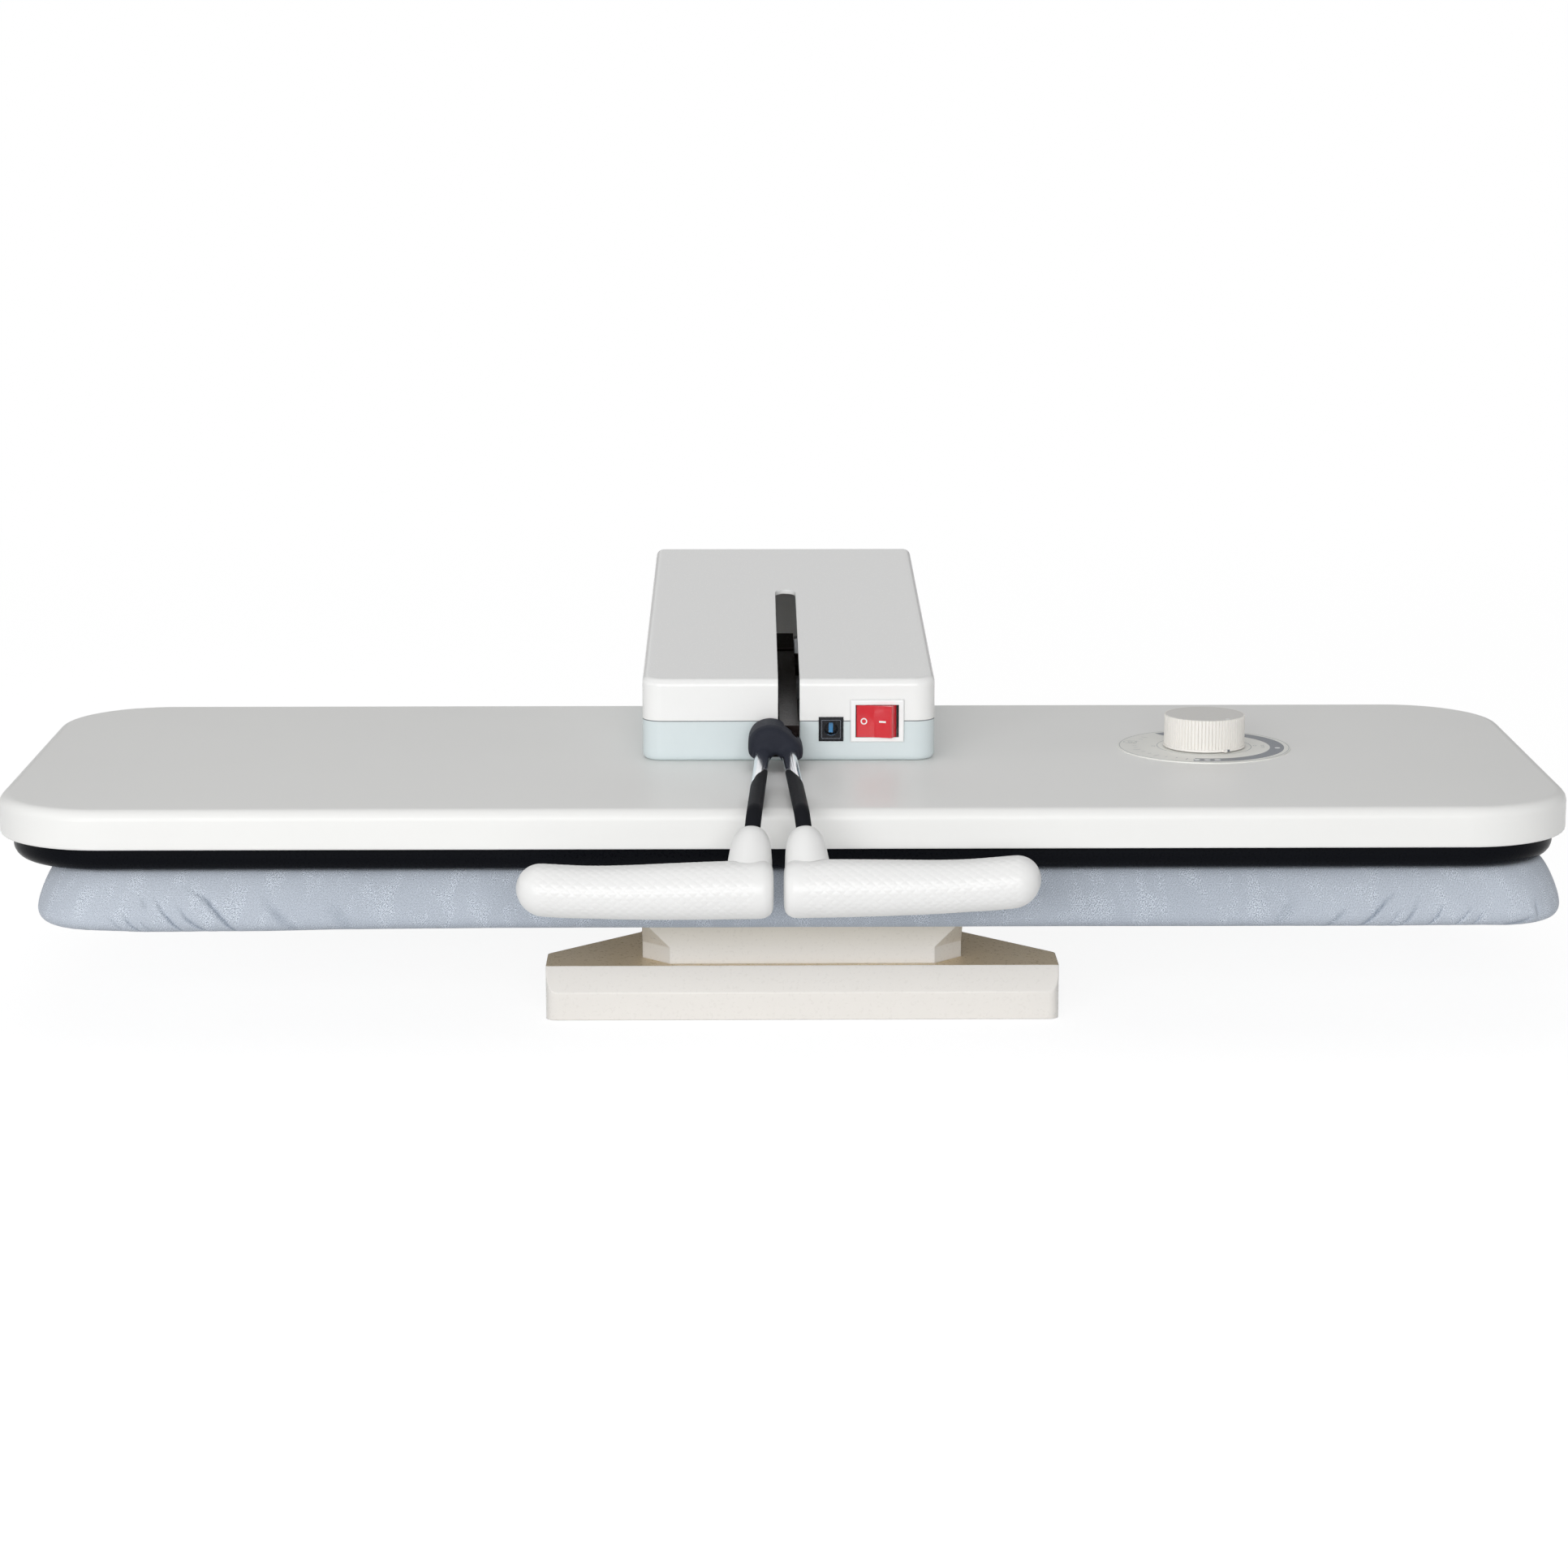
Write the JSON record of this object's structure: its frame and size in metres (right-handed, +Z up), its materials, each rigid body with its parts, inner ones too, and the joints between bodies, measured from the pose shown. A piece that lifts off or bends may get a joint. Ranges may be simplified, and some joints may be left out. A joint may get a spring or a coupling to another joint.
{
  "type": "table-top flat-bed steam press",
  "caption": "Table-top flat-bed steam press: padded board on a low pedestal base, wide heated head hinged at the rear, console with lever slot, twin-grip handle.",
  "frame": {"origin": "on the table, under the middle of the whole object's box, level with the feet's faces", "axes": "+X to the operator's right along the head, +Y to the rear towards the hinge, +Z up"},
  "size_m": [1.01, 0.5889, 0.2523],
  "materials": {
    "cream_shell": "smooth semi-gloss cream plastic",
    "white_cover": "satin white paint with a fine orange peel",
    "white_console": "finely textured white plastic",
    "pale_blue_console": "finely textured pale blue-grey plastic",
    "black_rim": "black heat-proof plastic, satin",
    "silver_cloth": "aluminised cotton twill, fine weave",
    "foam": "needled felt and open foam",
    "hot_aluminium": "polished sole with a cast back",
    "zinc_steel": "zinc-plated sheet steel",
    "dark_steel": "black-painted steel",
    "plated_fasteners": "zinc-plated screws and bolts",
    "ground_steel": "ground steel pins",
    "spring_steel": "oiled spring wire",
    "bronze": "sintered bronze",
    "chrome": "bright chromium plating",
    "element_sheath": "heat-tinted steel sheath",
    "mica_board": "pressed fibre board",
    "black_rubber": "matt black rubber",
    "white_switch": "glossy white plastic",
    "red_rocker": "translucent red plastic with white O and bar marks",
    "black_socket": "black moulded plastic",
    "blue_insert": "blue moulded insert",
    "dial_print": "white film printed with a grey ring scale",
    "white_knob": "ribbed white plastic",
    "grey_disc": "satin grey disc with a fine turned grain",
    "white_grips": "white plastic embossed with small scales",
    "clear_tank": "milky polypropylene",
    "pump_body": "grey moulded pump body",
    "silicone": "translucent silicone hose",
    "green_board": "green circuit board"
  },
  "bodies": {
    "root": {"base_shell": "cream_shell", "base_spine": "zinc_steel", "base_crossbeams": "zinc_steel", "rubber_feet": "black_rubber", "foot_screws": "plated_fasteners", "pedestal_shell": "cream_shell", "board_bracket": "zinc_steel", "board_panel": "zinc_steel", "board_pad": "foam", "board_cover": "silver_cloth", "panel_screws": "plated_fasteners", "hinge_tower": "zinc_steel", "tower_shroud": "cream_shell", "tower_bolts": "plated_fasteners", "hinge_pin": "ground_steel", "hinge_circlips": "ground_steel", "hinge_washers": "ground_steel", "fulcrum_pin": "ground_steel", "lift_springs": "spring_steel"},
    "head": {"head_cover": "white_cover", "insulating_rim": "black_rim", "hot_plate": "hot_aluminium", "heating_element": "element_sheath", "steam_chamber": "hot_aluminium", "insulation_board": "mica_board", "mounting_posts": "zinc_steel", "head_arm": "zinc_steel", "arm_bolts": "plated_fasteners", "hinge_bushes": "bronze", "lever_pin": "ground_steel", "lever_washers": "dark_steel", "console_lower": "pale_blue_console", "console_upper": "white_console", "console_screws": "plated_fasteners", "switch_housing": "white_switch", "pedal_socket": "black_socket", "socket_insert": "blue_insert", "dial_plate": "dial_print", "thermostat": "element_sheath", "thermal_fuse": "element_sheath", "water_tank": "clear_tank", "water_pump": "pump_body", "steam_tube": "silicone", "control_board": "green_board", "cord_gland": "black_socket"},
    "handle": {"lever_bar": "dark_steel", "rod_yoke": "zinc_steel", "lever_boot": "black_rubber", "handle_rod_left": "chrome", "handle_rod_right": "chrome", "elbow_left": "white_grips", "elbow_right": "white_grips", "grip_left": "white_grips", "grip_right": "white_grips"},
    "rocker": {"rocker": "red_rocker"},
    "knob": {"temperature_knob": "white_knob", "knob_cap": "grey_disc", "thermostat_shaft": "ground_steel"},
    "filler_cap": {"filler_cap": "clear_tank"}
  },
  "joints": [
    {"name": "head_hinge", "type": "hinge", "parent": "root", "child": "head", "pos_m": [0.004, 0.24245, 0.168], "axis": [-1, 0, 0], "range_deg": [0, 50]},
    {"name": "handle_lever", "type": "hinge", "parent": "head", "child": "handle", "pos_m": [0.004, 0.18245, 0.182], "axis": [-1, 0, 0], "range_deg": [0, 45]},
    {"name": "rocker_tilt", "type": "hinge", "parent": "head", "child": "rocker", "pos_m": [0.0628, -0.03955, 0.1834], "axis": [0, 0, 1], "range_deg": [0, 24]},
    {"name": "thermostat_turn", "type": "hinge", "parent": "head", "child": "knob", "pos_m": [0.2865, 0.00045, 0.168], "axis": [0, 0, 1], "range_deg": [-40, 230]},
    {"name": "filler_cap_turn", "type": "hinge", "parent": "head", "child": "filler_cap", "pos_m": [-0.051, 0.28745, 0.218], "axis": [0, 1, 0], "range_deg": [0, 90]}
  ],
  "couplings": [
    {"joint": "handle_lever", "follows": "head_hinge", "ratio": 0.9}
  ]
}
